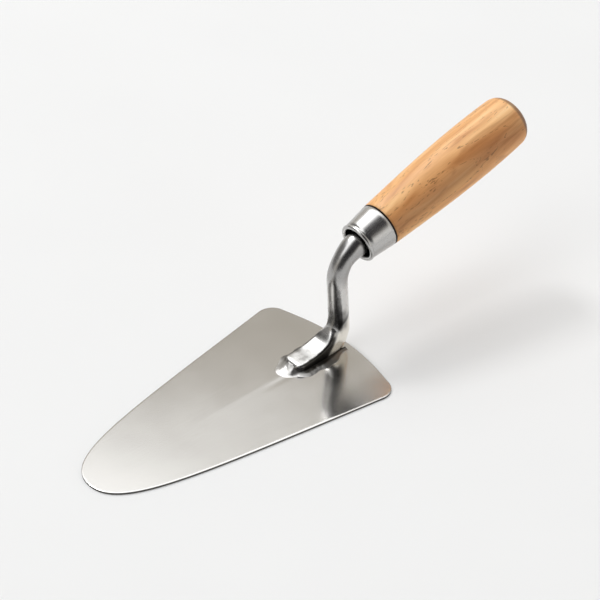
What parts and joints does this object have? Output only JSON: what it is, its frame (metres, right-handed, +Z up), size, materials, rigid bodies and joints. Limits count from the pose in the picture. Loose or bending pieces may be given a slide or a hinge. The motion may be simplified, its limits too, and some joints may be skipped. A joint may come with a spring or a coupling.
{
  "type": "brick trowel",
  "caption": "Steel trowel with a long round-nosed blade, a cranked round shank, a lipped ferrule and a turned wooden handle.",
  "frame": {"origin": "on the blade's flat underside, on its centreline, 20 mm forward of the heel's middle, under the shank's foot", "axes": "+X along the blade from the heel to the tip, +Y to the left, +Z up from the blade towards the handle"},
  "size_m": [0.3095, 0.101, 0.1092],
  "materials": {
    "blade_steel": "satin polished",
    "shank_steel": "polished",
    "weld_steel": "ground and polished",
    "ferrule_steel": "polished",
    "handle_wood": "clear satin lacquer"
  },
  "bodies": {
    "root": {"blade": "blade_steel", "shank": "shank_steel", "weld": "weld_steel", "ferrule": "ferrule_steel", "handle": "handle_wood"}
  },
  "joints": []
}
